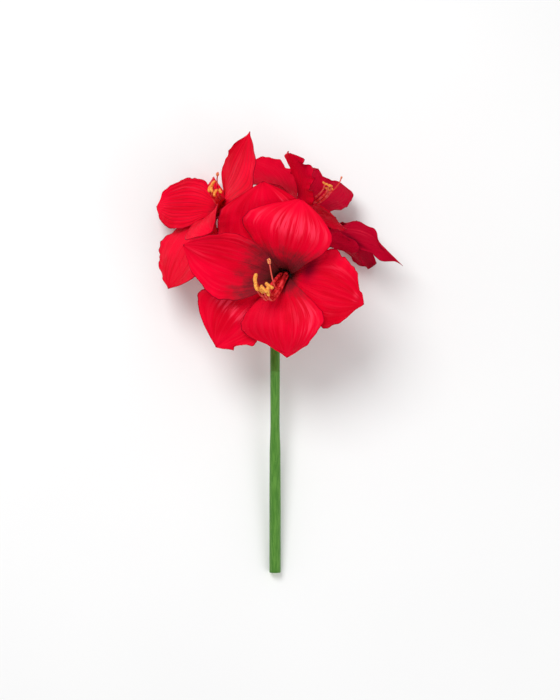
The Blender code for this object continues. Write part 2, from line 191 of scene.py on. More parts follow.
@dataclass(frozen=True)
class Petal:
    """One petal: sizes in metres, angles in degrees, and shares. Flare opens it, curl bends
    its tip back, cup hollows it, lean and swing carry it sideways and twist turns its blade.
    Point, skew, spread and widest shape its outline, and opening frees it from the tube."""

    azimuth: float
    length: float
    width: float
    flare: float
    curl: float
    cup: float
    lean: float = 0.0
    swing: float = 0.0
    twist: float = 0.0
    point: float = 1.0
    skew: float = 0.0
    flare_end: float = 0.52
    opening: float = 1.0
    spread: float = 0.88
    widest: float = 0.60


@dataclass(frozen=True)
class Bloom:
    """A bloom: the foot of its petals, its axis, the side of the stalk that it grows from and
    its petals in turn. Its anthers and stigma stand at places in its own frame, its threads
    sag and sway, bunch scales their heads, and shade dulls its red as painted shade, where the
    bloom faces away from the light."""

    name: str
    foot: tuple
    axis: tuple
    root_azimuth: float
    inner: tuple
    outer: tuple
    anthers: tuple = (0.0, 0.0, 0.062)
    stigma: tuple = (0.0, 0.004, 0.078)
    sag: float = 0.010
    style_sag: float = 0.0
    sway: float = 0.0
    bunch: float = 1.0
    shade: float = 0.0


# A petal's first six numbers are its azimuth, length, width, flare, curl and cup.
BLOOMS = (
    Bloom(
        "front",
        foot=(0.012, -0.014, 0.030),
        axis=(-0.11, -0.13, 1.00),
        root_azimuth=-90,
        anthers=(-0.0165, -0.004, 0.078),
        stigma=(-0.0074, 0.0172, 0.088),
        sag=0.029,
        style_sag=0.036,
        sway=-0.006,
        inner=(
            Petal(53, 0.119, 0.106, 54, 72, -12, swing=22, skew=0.1, spread=0.83),
            Petal(170, 0.138, 0.074, 68, 22, 16, swing=-10, twist=-12, skew=0.15),
            Petal(290, 0.117, 0.096, 58, 68, -14, swing=-17),
        ),
        outer=(
            Petal(110, 0.124, 0.100, 84, 0, 0, swing=-10, skew=0.2),
            Petal(226, 0.126, 0.102, 84, 20, 0, skew=-0.22),
            Petal(347, 0.109, 0.086, 84, 14, -8, swing=-6, skew=0.14),
        ),
    ),
    Bloom(
        "left",
        foot=(-0.036, 0.050, -0.013),
        axis=(-0.72, 0.36, 0.58),
        root_azimuth=180,
        anthers=(0.012, 0.010, 0.054),
        stigma=(0.021, 0.020, 0.062),
        sag=0.004,
        style_sag=-0.012,
        bunch=0.85,
        inner=(
            Petal(
                46, 0.124, 0.078, 66, 10, 12, lean=30, swing=-19, twist=24, point=1.4, skew=-0.3,
                spread=0.6, widest=0.5,
            ),
            Petal(183, 0.105, 0.064, 58, 26, 8, swing=4),
            Petal(302, 0.098, 0.070, 38, 60, 14, lean=8, swing=6, skew=-0.2, spread=0.56),
        ),
        outer=(
            Petal(3, 0.082, 0.070, 60, 50, 8, swing=-15, skew=-0.4),
            Petal(123, 0.092, 0.050, 82, 76, 0, swing=22),
            Petal(243, 0.131, 0.100, 82, 4, 0, swing=18, spread=0.94),
        ),
    ),
    Bloom(
        "right",
        foot=(0.014, 0.040, -0.005),
        axis=(0.66, 0.66, 0.20),
        root_azimuth=90,
        anthers=(0.000, 0.000, 0.062),
        stigma=(0.000, -0.006, 0.078),
        style_sag=0.014,
        bunch=0.54,
        shade=0.25,
        inner=(
            Petal(42, 0.073, 0.054, 36, 10, 10, swing=2, spread=0.42),
            Petal(162, 0.090, 0.066, 55, 10, 26, swing=-24, twist=22, point=0.6, spread=0.48),
            Petal(282, 0.046, 0.046, 30, 30, 8, swing=7, twist=-35, spread=0.28),
        ),
        outer=(
            Petal(
                350, 0.093, 0.066, 44, 20, 16, lean=17, swing=4, point=0.7, skew=-0.1, spread=0.5,
            ),
            Petal(
                102, 0.096, 0.084, 95, 6, 20, swing=-20, twist=-52, skew=0.1, flare_end=0.38,
                spread=0.66,
            ),
            Petal(222, 0.078, 0.060, 53, 20, -8, lean=4, swing=2, spread=0.38),
        ),
    ),
    Bloom(
        "back",
        foot=(0.036, 0.033, -0.031),
        axis=(0.90, -0.09, 0.0),
        root_azimuth=0,
        anthers=(0.000, 0.000, 0.048),
        stigma=(0.000, 0.001, 0.060),
        sag=0.002,
        shade=0.85,
        inner=(
            Petal(20, 0.078, 0.044, 13, 10, 30, opening=0.4, spread=0.44),
            Petal(
                142, 0.116, 0.040, 24, -12, 10, lean=36, swing=34, point=2.0, skew=-0.28,
                spread=0.85, widest=0.26,
            ),
            Petal(250, 0.070, 0.044, 18, 20, 30, swing=12, point=1.6, opening=0.4, spread=0.4),
        ),
        outer=(
            Petal(62, 0.058, 0.046, 18, -6, 24, opening=0.5, spread=0.44),
            Petal(205, 0.064, 0.046, 26, 6, 24, opening=0.6, spread=0.5),
            Petal(320, 0.090, 0.054, 26, 10, 20, swing=6, opening=0.6, spread=0.5),
        ),
    ),
)


@dataclass(frozen=True)
class Detail:
    """A petal's fine forms. A mark is a soft spot: its place along and across the blade, turn,
    half length, half breadth, height, and how light (above 0) or dark (below 0) it is, as a
    painted highlight or painted shade. An edge is a stretch of margin: its side, place, half
    length and how far out it reaches, as a share."""

    # How far along the blade the dark throat reaches: partly the flower's own burgundy, partly
    # painted shade.
    throat: float = 0.36
    veins: float = 0.08
    frill: float = 1.0
    # Painted shade that dulls this petal to a purplish red, on top of its bloom's shade.
    tone: float = 0.0
    marks: tuple = ()
    edges: tuple = ()


PLAIN = Detail()
# Marks paint highlights (lightness above 0) and shade (below 0) on single petals, and their heights
# are real folds; a longer throat partly paints the funnel's shade.
DETAILS = {
    "front_inner_petal_1": Detail(
        throat=0.58, frill=0.6,
        marks=(
            (0.74, 0, 1.57, 1.2, 0.1, 0.0006, 0.9), (0.47, 0.9, 0.3, 0.1, 0.12, 0, 0.3),
            (0.4, -0.5, 0, 0.12, 0.4, 0, 0.12),
        ),
    ),
    "front_inner_petal_2": Detail(
        throat=0.62, frill=1.2,
        marks=((0.66, -0.84, 0, 0.24, 0.12, 0.002, 0.3), (0.88, 0.2, 0, 0.1, 0.3, 0, 0.35)),
        edges=((1, 0.81, 0.06, -0.11),),
    ),
    "front_inner_petal_3": Detail(
        throat=0.44, frill=0.8,
        marks=(
            (0.62, 0.62, 0, 0.2, 0.32, 0, 0.85), (0.66, 0.05, 0, 0.14, 0.12, 0, 0.25),
            (0.6, -0.55, 0, 0.3, 0.4, 0, -0.16),
        ),
        edges=((1, 0.78, 0.13, -0.2), (-1, 0.96, 0.06, -0.9), (-1, 0.86, 0.07, -0.42)),
    ),
    "front_outer_petal_1": Detail(
        throat=0.4,
        marks=(
            (0.8, -0.52, 0, 0.1, 0.17, 0.0018, 0.7), (0.88, 0.35, 0, 0.1, 0.13, 0.001, 0.4),
            (0.62, 0.85, 0, 0.2, 0.25, 0, -0.2),
        ),
        edges=((1, 0.86, 0.08, 0.18),),
    ),
    "front_outer_petal_2": Detail(
        throat=0.36, frill=2,
        marks=(
            (0.645, -0.1, 1.58, 0.75, 0.065, 0.0018, 1.25),
            (0.9, -0.05, 0, 0.09, 0.12, 0.0014, 0.5), (0.78, 0.75, 0.9, 0.12, 0.08, 0.001, 0.4),
        ),
        edges=(
            (1, 0.62, 0.09, -0.42), (1, 0.84, 0.08, -0.44), (1, 0.9, 0.018, 0.18),
            (1, 0.945, 0.015, -0.1), (-1, 0.68, 0.08, -0.15), (-1, 0.86, 0.05, 0.11),
        ),
    ),
    "front_outer_petal_3": Detail(
        throat=0.36, frill=1.6,
        marks=(
            (0.66, 0.62, 0, 0.2, 0.11, 0.0016, 0.45), (0.9, 0.2, 1.57, 0.34, 0.03, 0.0016, 0.7),
            (0.68, -0.62, 1.2, 0.26, 0.06, 0, 0.4), (0.385, 0.6, 0, 0.085, 0.46, 0, -1.1),
        ),
        edges=(
            (1, 0.74, 0.16, -0.15), (1, 0.9, 0.04, -0.18), (1, 0.845, 0.018, 0.06),
            (1, 0.95, 0.016, 0.1), (1, 0.94, 0.05, -0.18), (-1, 0.95, 0.05, -0.3),
            (-1, 0.74, 0.12, 0.1),
        ),
    ),
    "left_inner_petal_1": Detail(
        veins=0.4, frill=0.8,
        marks=((0.52, -0.15, 0, 0.22, 0.4, 0, 0.35),),
        edges=(
            (-1, 0.9, 0.1, 0.6), (-1, 0.95, 0.05, 0.4), (-1, 0.68, 0.05, 0.14),
            (1, 0.74, 0.2, -0.24),
        ),
    ),
    "left_inner_petal_2": Detail(
        veins=0.6, frill=1.3,
        marks=((0.62, -0.62, 0, 0.3, 0.3, 0, 0.35),),
        edges=((-1, 0.42, 0.06, 0.18), (-1, 0.95, 0.05, 0.3)),
    ),
    "left_inner_petal_3": Detail(throat=0.3, frill=0.6, edges=((1, 0.45, 0.25, 0.5),)),
    "left_outer_petal_1": Detail(tone=0.1),
    "left_outer_petal_2": Detail(edges=((-1, 0.7, 0.4, -0.65),)),
    "left_outer_petal_3": Detail(
        frill=2,
        marks=((0.72, -0.65, 0, 0.16, 0.2, 0.0014, 0.5), (0.8, 0.7, 0, 0.2, 0.2, 0.0012, 0.2)),
        edges=((-1, 0.62, 0.14, 0.1), (1, 0.94, 0.09, 0.5)),
    ),
    "right_inner_petal_1": Detail(tone=0.4),
    "right_inner_petal_2": Detail(
        frill=2.4,
        marks=((0.84, 0.75, 0, 0.16, 0.5, 0, -0.4), (0.42, -0.35, 0, 0.15, 0.75, 0, -0.75)),
        edges=(
            (-1, 0.66, 0.12, -0.5), (-1, 0.78, 0.06, -0.35), (-1, 0.92, 0.05, -0.3),
            (1, 0.86, 0.07, -0.22), (1, 0.96, 0.03, 0.4), (1, 0.34, 0.16, 0.9),
            (1, 0.72, 0.025, 0.1),
        ),
    ),
    "right_inner_petal_3": Detail(tone=0.5),
    "right_outer_petal_1": Detail(
        tone=0.5, frill=0.8, veins=0.5,
        marks=((0.6, 0.1, 0.3, 0.25, 0.2, 0, 0.2),),
        edges=((-1, 0.78, 0.14, -0.26), (1, 0.89, 0.08, -0.5)),
    ),
    "right_outer_petal_2": Detail(
        frill=1.2,
        marks=((0.45, 0, 0, 0.14, 0.8, 0, -0.3),),
        edges=(
            (-1, 0.95, 0.03, 0.3), (-1, 0.84, 0.05, -0.12), (-1, 0.71, 0.06, -0.2),
            (1, 0.6, 0.12, 0.12),
        ),
    ),
    "right_outer_petal_3": Detail(edges=((1, 0.72, 0.25, 0.5), (-1, 0.9, 0.1, 0.2))),
    "back_inner_petal_1": Detail(frill=0.5, edges=((1, 0.88, 0.08, -0.25),)),
    "back_inner_petal_2": Detail(
        marks=(
            (0.46, -0.45, 0, 0.22, 0.14, 0.0012, 0.9), (0.72, -0.2, 0, 0.12, 0.3, 0, 0.5),
            (0.44, 0.15, 1.27, 0.5, 0.055, 0, -1),
        ),
        edges=(
            (-1, 0.5, 0.08, -0.18), (-1, 0.62, 0.04, 0.1), (-1, 0.7, 0.08, -0.5),
            (-1, 0.84, 0.12, -1), (1, 0.84, 0.11, 2.2),
        ),
    ),
    "back_outer_petal_2": Detail(
        frill=1.4,
        marks=((0.6, -0.2, 0, 0.3, 0.4, 0, 0.25),),
        edges=((1, 0.72, 0.24, -0.5), (-1, 0.85, 0.22, -0.6)),
    ),
    "back_outer_petal_3": Detail(frill=1.6, edges=((-1, 0.48, 0.16, -0.7),)),
}


class PetalSettings(PropertyGroup):
    """Sizes and colours of the petals."""

    rows: IntProperty(name="Rows", description="Faces along a petal", default=72, min=12)
    columns: IntProperty(name="Columns", description="Faces across a petal", default=56, min=8)
    thickness: FloatProperty(
        name="Thickness", description="At the petal's foot", default=0.0011, unit="LENGTH"
    )
    frill: FloatProperty(
        name="Frill", description="Height of the fine waves at the margin",
        default=0.0013, unit="LENGTH",
    )
    notch: FloatProperty(
        name="Notch", description="Depth of the margin's scallops, as a share", default=0.045
    )
    undulation: FloatProperty(
        name="Undulation", description="Height of the blade's gentle swells",
        default=0.0011, unit="LENGTH",
    )
    vein: FloatProperty(
        name="Vein", description="Height of the lengthwise veins", default=0.00010, unit="LENGTH"
    )
    groove: FloatProperty(
        name="Groove", description="Depth of the groove along the middle",
        default=0.0005, unit="LENGTH",
    )
    bright: FloatVectorProperty(
        name="Bright", description="Crimson of the blade",
        subtype="COLOR", default=(0.86, 0.0, 0.026),
    )
    deep: FloatVectorProperty(
        name="Deep", description="Deeper red of the blade",
        subtype="COLOR", default=(0.66, 0.0, 0.014),
    )
    # Painted sheen: this pink stands in for satin gloss on the lit ridges.
    painted_sheen_pink: FloatVectorProperty(
        name="Streak", description="Pink red of the streaks",
        subtype="COLOR", default=(0.95, 0.035, 0.085),
    )
    shadow: FloatVectorProperty(
        name="Shadow", description="Dark red of veins and margins",
        subtype="COLOR", default=(0.20, 0.0, 0.012),
    )
    # Painted shade: this duller purplish red stands in for the shade on blooms that face away from
    # the light.
    painted_shade_magenta: FloatVectorProperty(
        name="Magenta", description="Duller red of the rear blooms",
        subtype="COLOR", default=(0.36, 0.0, 0.022),
    )
    # Partly the flower's own burgundy and partly painted shade of the deep funnel.
    throat: FloatVectorProperty(
        name="Throat", description="Burgundy of the funnel",
        subtype="COLOR", default=(0.20, 0.012, 0.020),
    )
    base: FloatVectorProperty(
        name="Base", description="Dark green at the petal's foot",
        subtype="COLOR", default=(0.080, 0.018, 0.014),
    )


class StamenSettings(PropertyGroup):
    """Sizes and colours of the stamens and pistils."""

    path_points: IntProperty(
        name="Path points", description="Rings along a thread", default=26, min=8
    )
    sides: IntProperty(name="Sides", description="Faces round a thread", default=12, min=6)
    root_radius: FloatProperty(
        name="Thread foot", description="Radius of a stamen's thread", default=0.0022, unit="LENGTH"
    )
    tip_radius: FloatProperty(
        name="Thread tip", description="Radius at the anther", default=0.00060, unit="LENGTH"
    )
    anther_length: FloatProperty(
        name="Anther length", description="Length of an anther", default=0.0110, unit="LENGTH"
    )
    anther_width: FloatProperty(
        name="Anther width", description="Width of an anther", default=0.0040, unit="LENGTH"
    )
    style_radius: FloatProperty(
        name="Style", description="Radius of the pistil's style", default=0.0009, unit="LENGTH"
    )
    stigma_length: FloatProperty(
        name="Stigma length", description="Length of a lobe of the stigma",
        default=0.0066, unit="LENGTH",
    )
    stigma_width: FloatProperty(
        name="Stigma width", description="Width of a lobe of the stigma",
        default=0.0023, unit="LENGTH",
    )
    thread: FloatVectorProperty(
        name="Thread", description="Red of the threads' feet",
        subtype="COLOR", default=(0.78, 0.018, 0.026),
    )
    thread_tip: FloatVectorProperty(
        name="Thread tip", description="Pink of the threads' tips",
        subtype="COLOR", default=(0.72, 0.075, 0.045),
    )
    pollen: FloatVectorProperty(
        name="Pollen", description="Yellow of the anthers",
        subtype="COLOR", default=(0.93, 0.50, 0.08),
    )
    pollen_dark: FloatVectorProperty(
        name="Dark pollen", description="Orange of the grains",
        subtype="COLOR", default=(0.78, 0.22, 0.03),
    )
    stigma: FloatVectorProperty(
        name="Stigma", description="Salmon of the stigma",
        subtype="COLOR", default=(0.93, 0.43, 0.12),
    )


class StalkSettings(PropertyGroup):
    """Sizes and colours of the stalks."""

    sides: IntProperty(name="Sides", description="Faces round the stalk", default=48, min=12)
    rings: IntProperty(name="Rings", description="Rings along the stalk", default=90, min=12)
    edge: FloatProperty(
        name="Cut edge", description="Rounding of the cut end", default=0.0004, unit="LENGTH"
    )
    ribs: FloatProperty(
        name="Ribs", description="Height of the faint lengthwise ribs",
        default=0.00006, unit="LENGTH",
    )
    green: FloatVectorProperty(
        name="Green", description="Green of the stalk",
        subtype="COLOR", default=(0.075, 0.235, 0.028),
    )
    green_light: FloatVectorProperty(
        name="Light green", description="Lighter lengthwise stripes",
        subtype="COLOR", default=(0.13, 0.33, 0.05),
    )
    flesh: FloatVectorProperty(
        name="Flesh", description="Pale cut face", subtype="COLOR", default=(0.50, 0.60, 0.25)
    )


class StageSettings(PropertyGroup):
    """The floor and the lights."""

    floor: FloatVectorProperty(
        name="Floor", description="Colour of the floor", subtype="COLOR", default=(0.90, 0.90, 0.90)
    )
    key: FloatProperty(name="Key light", description="Power of the upper left light", default=27.0)
    fill: FloatProperty(
        name="Fill light", description="Power of the lower right light", default=7.0
    )
    sky: FloatProperty(name="Sky", description="Strength of the light all round", default=0.54)


def smooth(low, high, x):
    """An even step from 0 at low to 1 at high."""
    t = min(max((x - low) / (high - low), 0.0), 1.0)
    return t * t * (3 - 2 * t)


def mix(a, b, share):
    """The value between a and b at that share of the way."""
    return a + (b - a) * share


def frame_at(place, x, z):
    """A frame at a place, with Z ahead and X across it."""
    return Matrix.Translation(place) @ Matrix((x, z.cross(x), z)).transposed().to_4x4()


def on_ring(radius, degrees, height=0.0):
    """A point on a ring round the Z axis."""
    turn = radians(degrees)
    return Vector((cos(turn) * radius, sin(turn) * radius, height))


def bloom_matrix(bloom):
    """The bloom's frame in the plant: Z out of its mouth, Y as near the plant's up as it can be."""
    out = Vector(bloom.axis).normalized()
    return frame_at(bloom.foot, Vector((0, 1, 0)).cross(out).normalized(), out)


def half_width(petal, u):
    """Half the petal's width at share u of its length."""
    full = petal.width / 2
    if u < petal.widest:
        return mix(TUBE_HALF_WIDTH, full, smooth(TUBE_END, petal.widest, u))
    beyond = (u - petal.widest) / (1 - petal.widest)
    return full * max(1 - beyond**TIP_ROUNDNESS, 0.0) ** petal.point


def midrib(petal, ring, rows):
    """Point, side, inner normal and distance from the axis along the middle of a petal."""
    radius, start = SEATS[ring]
    out = on_ring(1.0, petal.azimuth)
    axis = Vector((0, 0, 1))
    side = axis.cross(out)
    point = out * radius + axis * start
    found = []
    for row in range(rows + 1):
        u = row / rows
        opened = (petal.flare - TUBE_ANGLE) * smooth(TUBE_END, petal.flare_end, u)
        angle = radians(TUBE_ANGLE + opened + petal.curl * smooth(CURL_START, 1.0, u))
        yaw = radians(petal.lean) * smooth(OPEN_START, 1.0, u)
        rolled = radians(petal.twist) * smooth(TWIST_START, 1.0, u)
        ahead = sin(angle) * out + cos(angle) * axis
        along = cos(yaw) * ahead + sin(yaw) * side
        across = cos(yaw) * side - sin(yaw) * ahead
        inner = sin(angle) * axis - cos(angle) * out
        turned = cos(rolled) * across + sin(rolled) * inner
        normal = cos(rolled) * inner - sin(rolled) * across
        swing = radians(petal.swing) * smooth(TUBE_END, CURL_START, u)
        swung = Matrix.Rotation(swing, 3, "Z")
        found.append((swung @ point, swung @ turned, swung @ normal, out.dot(point)))
        point += along * petal.length / rows
    return found


def marked(detail, u, v):
    """The height that a petal's marks add at a point of its blade, and their painted highlight
    (above 0) or painted shade (below 0).
    """
    height = 0.0
    light = 0.0
    for at_u, at_v, turn, long, broad, tall, lit in detail.marks:
        along = (u - at_u) * cos(turn) + (v - at_v) * sin(turn)
        off = (v - at_v) * cos(turn) - (u - at_u) * sin(turn)
        share = exp(-((along / long) ** 2) - (off / broad) ** 2)
        height += tall * share
        light += lit * share
    return height, light


def reached(detail, u, v):
    """How much further out a margin reaches at a place, as a share of the half width."""
    grown = 0.0
    for side, at_u, long, share in detail.edges:
        grown += share * exp(-(((u - at_u) / long) ** 2)) * max(side * v, 0.0) ** 2
    return grown


def relief(detail, u, v, seed, looks):
    """The height of the fine forms: swells, frilled margin, veins and the middle groove."""
    blade = smooth(0.10, 0.40, u)
    across, along, kind = SWELL_SCALE
    swell = noise.noise(Vector((u * along, v * across, seed * kind)))
    height = looks.undulation * swell * blade
    edge = abs(v) ** FRILL_EDGE * smooth(0.25, 0.55, u) * smooth(1.0, 0.93, u)
    across, along, kind = FRILL_SCALE
    waving = noise.noise(Vector((u * along, v * across, seed * kind)))
    height += looks.frill * detail.frill * edge * waving * FRILL_GAIN
    vein = cos(v * 2 * pi * VEIN_COUNT + 1.2 * swell)
    height += looks.vein * vein * blade * smooth(1.0, 0.8, u)
    groove = exp(-((v / GROOVE_WIDTH) ** 2)) * smooth(0.12, 0.3, u) * smooth(1.0, 0.7, u)
    height -= looks.groove * groove
    return height + marked(detail, u, v)[0]


def petal_point(petal, detail, rib, u, v, seed, looks):
    """The point of a petal's middle surface at share u of its length and v of its half width."""
    point, across, normal, from_axis = rib
    opened = smooth(OPEN_START, OPEN_END, u) * petal.opening
    open_spread = petal.spread * OPEN_ROOM * (1 + petal.skew * v)
    room = from_axis * mix(max(petal.spread, TUBE_SPREAD), open_spread, opened)
    half = half_width(petal, u) * (1 + petal.skew * v)
    if half > 0:
        half = (half**-ROOM_POWER + room**-ROOM_POWER) ** (-1 / ROOM_POWER)
    side = 1.0 if v > 0 else -1.0
    scallop = 0.0
    for tall, along, beside, kind in SCALLOPS:
        scallop += tall * noise.noise(Vector((u * along, side * beside, seed * kind)))
    scallop *= smooth(0.40, 0.60, u) * abs(v) ** 3
    half *= 1 + looks.notch * detail.frill * scallop + reached(detail, u, v)
    bend = mix(half / from_axis, radians(petal.cup), opened)
    bend = bend if abs(bend) > SMALLEST_BEND else SMALLEST_BEND
    reach = half / bend
    swell = 2 * pi * (RIPPLE_COUNT * u + (RIPPLE_OFFSET if v > 0 else 0.0))
    ripple = RIPPLE_HEIGHT * abs(v) ** RIPPLE_EDGE * sin(swell)
    ripple *= smooth(*RIPPLE_IN, u) * smooth(*RIPPLE_OUT, u)
    lift = reach * (1 - cos(bend * v)) + ripple
    found = point + across * reach * sin(bend * v) + normal * lift
    facing = normal * cos(bend * v) - across * sin(bend * v)
    return found + facing * relief(detail, u, v, seed, looks)


def new_piece(part, bm, replaced, finish):
    """Makes a bmesh a piece that stands for one CAD node and rides with the whole stem."""
    mesh = bpy.data.meshes.new(replaced)
    bm.to_mesh(mesh)
    bm.free()
    for made in finish:
        mesh.materials.append(made)
    mesh.shade_smooth()
    piece = bpy.data.objects.new(f"{replaced}_{part}", mesh)
    bpy.context.scene.collection.objects.link(piece)
    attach(piece, "root")
    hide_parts(replaced)
    return piece


def petal_piece(bloom, petal, ring, number, looks, finish):
    """One petal as a bent grid with a thin wall, thickest at its foot."""
    node = f"{bloom.name}_{ring}_petal_{number}"
    detail = DETAILS.get(node, PLAIN)
    seed = petal.azimuth / 10 + len(bloom.name)
    ribs = midrib(petal, ring, looks.rows)
    place = PLANT @ bloom_matrix(bloom)
    bm = bmesh.new()
    bm.loops.layers.uv.new("blade")
    bmesh.ops.create_grid(
        bm, x_segments=looks.columns, y_segments=looks.rows, size=1.0, calc_uvs=True
    )
    thin = bm.verts.layers.deform.new()
    names = ("light", "dark", "throat", "vein", "tone", "seed")
    layers = [bm.verts.layers.float.new(name) for name in names]
    for vertex in bm.verts:
        row = round((vertex.co.y + 1) / 2 * looks.rows)
        u = row / looks.rows
        v = vertex.co.x
        thinned = max(smooth(0.1, 0.6, u) * 0.6, abs(v) ** 3, u**4)
        vertex[thin][0] = mix(1.0, THIN_SHARE, thinned)
        vertex.co = place @ petal_point(petal, detail, ribs[row], u, v, seed, looks)
        vertex.co.z = max(vertex.co.z, looks.thickness / 2)
        # The marks' lightness: painted highlight above 0, painted shade below 0.
        light = marked(detail, u, v)[1]
        vein = detail.veins * smooth(0.24, 0.4, u) * smooth(1.0, 0.85, u)
        # Painted shade from the bloom and the petal, dulling the red to purplish.
        tone = bloom.shade + detail.tone
        values = (max(light, 0.0), max(-light, 0.0), u / detail.throat, vein, tone, seed)
        for layer, value in zip(layers, values):
            vertex[layer] = value
    bmesh.ops.remove_doubles(bm, verts=bm.verts, dist=MERGE_DISTANCE)
    piece = new_piece("blade", bm, node, finish)
    piece.vertex_groups.new(name="thickness")
    wall = piece.modifiers.new("wall", "SOLIDIFY")
    wall.thickness = looks.thickness
    wall.offset = 0.0
    wall.vertex_group = "thickness"
    wall.material_offset = 1


def path_frames(path):
    """A frame at each point of a path: Z ahead, and X turned as little as can be."""
    ways = [(b - a).normalized() for a, b in zip(path, path[1:])]
    ahead = [ways[0], *[(a + b).normalized() for a, b in zip(ways, ways[1:])], ways[-1]]
    x = Vector((1, 0, 0)) if abs(ahead[0].x) < 0.8 else Vector((0, 1, 0))
    frames = []
    for center, z in zip(path, ahead):
        x = (x - z * x.dot(z)).normalized()
        frames.append(frame_at(center, x, z))
    return frames


def sweep(bm, path, radii, sides, finish=0, shape=None):
    """A closed tube: a disc at the path's start, extruded from point to point."""
    along = bm.verts.layers.float["along"]
    frames = path_frames(path)
    disc = bmesh.ops.create_circle(bm, cap_ends=True, segments=sides, radius=1.0)["verts"]
    cap = disc[0].link_faces[0]
    made = list(disc)
    for step, (place, radius) in enumerate(zip(frames, radii)):
        if step:
            grown = bmesh.ops.extrude_face_region(bm, geom=[cap])["geom"]
            disc = [g for g in grown if isinstance(g, bmesh.types.BMVert)]
            cap = next(g for g in grown if isinstance(g, bmesh.types.BMFace))
            made += disc
        back = frames[max(step - 1, 0)].inverted() if step else Matrix()
        for vertex in disc:
            flat = back @ vertex.co
            turn = atan2(flat.y, flat.x)
            reach = radius * (shape(step, turn) if shape else 1.0)
            vertex.co = place @ Vector((cos(turn) * reach, sin(turn) * reach, 0))
            vertex[along] = step / (len(path) - 1)
    for face in {f for v in made for f in v.link_faces}:
        face.material_index = finish
    return made


def finer(points, count):
    """A smooth path through the points, with that many steps between each two."""
    ends = [points[0] * 2 - points[1], *points, points[-1] * 2 - points[-2]]
    found = []
    for a, b, c, d in zip(ends, ends[1:], ends[2:], ends[3:]):
        found += list(interpolate_bezier(b, b + (c - a) / 6, c - (d - b) / 6, c, count + 1))[:-1]
    return [*found, points[-1]]


def closed_piece(part, bm, place, replaced, finish):
    """Places a closed shape, points its faces outward and makes it a piece."""
    bmesh.ops.transform(bm, matrix=place, verts=bm.verts)
    bmesh.ops.recalc_face_normals(bm, faces=bm.faces)
    new_piece(part, bm, replaced, finish)


def empty_bmesh():
    """A bmesh whose points know their place along a thread or stalk."""
    bm = bmesh.new()
    bm.verts.layers.float.new("along")
    return bm


def anther(bm, place, looks):
    """A bent pollen body of two halves with a seam between them, lying along X."""
    body = bmesh.ops.create_uvsphere(
        bm, u_segments=ANTHER_SIDES, v_segments=ANTHER_RINGS, radius=0.5
    )["verts"]
    for vertex in body:
        x, y, z = vertex.co.z * 2, vertex.co.x * 2, vertex.co.y * 2
        seam = 1 - ANTHER_SEAM * exp(-((y / 0.25) ** 2)) * (1 if z > 0 else 0.5)
        blunt = (1 - abs(x) ** 4) ** 0.25 / max((1 - x * x) ** 0.5, 0.2)
        lump = noise.noise(Vector((x * 4, y * 3, z * 3 + place.translation.x * 900)))
        half = looks.anther_width / 2 * seam * min(blunt, 1.5) * (1 + ANTHER_LUMPS * lump)
        bent = Vector((x * looks.anther_length / 2, y * half, z * half - x * x * ANTHER_BEND))
        vertex.co = place @ bent
    for face in {f for v in body for f in v.link_faces}:
        face.material_index = 1


def filament_path(bloom, start, end, count):
    """A stamen's path: out of the tube, sagging, then rising to its anther."""
    across = mix(start.x, end.x, 0.35) + bloom.sway
    sagged = Vector((across, end.y - bloom.sag, end.z * FILAMENT_SAG_SHARE))
    aside = start.x * 1.2 + bloom.sway * 0.4
    lead = start + Vector((aside, start.y * 0.6, end.z * FILAMENT_TUBE_SHARE))
    return list(interpolate_bezier(start, lead, sagged, end, count))


def tapered(root, tip, count):
    """Radii that pass evenly from the root's to the tip's."""
    return [mix(root, tip, i / (count - 1)) for i in range(count)]


def stamens_piece(bloom, looks, finish):
    """Six threads on a small collar, each with its anther."""
    height = PEG_LENGTH + SEAT_GAP + STAMEN_COLLAR
    bm = empty_bmesh()
    count = looks.path_points
    for azimuth, right, up, out in STAMENS:
        start = on_ring(STAMEN_RING, azimuth, height)
        end = Vector(bloom.anthers) + Vector((right, up, out)) * bloom.bunch
        path = filament_path(bloom, start, end, count)
        sweep(bm, path, tapered(looks.root_radius, looks.tip_radius, count), looks.sides)
        tip = (path[-1] - path[-2]).normalized()
        aside = Matrix.Rotation(sin(radians(azimuth) * 1.7) * ANTHER_FAN, 3, "Z")
        lie = aside @ ANTHER_LIE.normalized()
        place = frame_at(end, lie, lie.cross(tip).normalized())
        anther(bm, place @ Matrix.Scale(bloom.bunch, 4), looks)
    steps = [i * 360 / COLLAR_POINTS for i in range(COLLAR_POINTS)]
    collar = [on_ring(STAMEN_RING, step, height) for step in steps]
    collar.append(collar[0] + Vector((0, COLLAR_LAP, 0)))
    sweep(bm, collar, [STAMEN_COLLAR] * len(collar), COLLAR_SIDES)
    place = PLANT @ bloom_matrix(bloom)
    closed_piece("threads", bm, place, f"{bloom.name}_stamens", finish)


def pistil_piece(bloom, looks, finish):
    """The style, a long thread, and its stigma of three lobes."""
    start = Vector((0, 0, PEG_LENGTH + SEAT_GAP))
    end = Vector(bloom.stigma)
    leave = start + Vector((0, 0, STYLE_FOOT))
    lead = leave + Vector((0, 0, STYLE_LEAD))
    sagged = Vector((end.x * 0.3, -bloom.style_sag, end.z * STYLE_SAG_SHARE))
    count = looks.path_points
    path = [start, *interpolate_bezier(leave, lead, sagged, end, count)]
    bm = empty_bmesh()
    radii = tapered(looks.style_radius, looks.style_radius * STYLE_TAPER, count + 1)
    sweep(bm, path, radii, looks.sides)
    tip = (path[-1] - path[-2]).normalized()
    head = frame_at(end, Vector((0, 1, 0)).cross(tip).normalized(), tip)
    long = looks.stigma_length * bloom.bunch
    half = looks.stigma_width / 2 * bloom.bunch
    for turn in LOBE_TURNS:
        lobe = [on_ring(out, turn, up) * long for up, out in LOBE_OUTLINE]
        steps = finer([head @ point for point in lobe], LOBE_STEPS)
        last = len(steps) - 1
        fat = [half * (0.55 + 0.5 * sin(pi * i / last) ** 0.6) for i in range(last)]
        sweep(bm, steps, [*fat, half * 0.2], looks.sides, finish=1)
    place = PLANT @ bloom_matrix(bloom)
    closed_piece("thread", bm, place, f"{bloom.name}_pistil", finish)


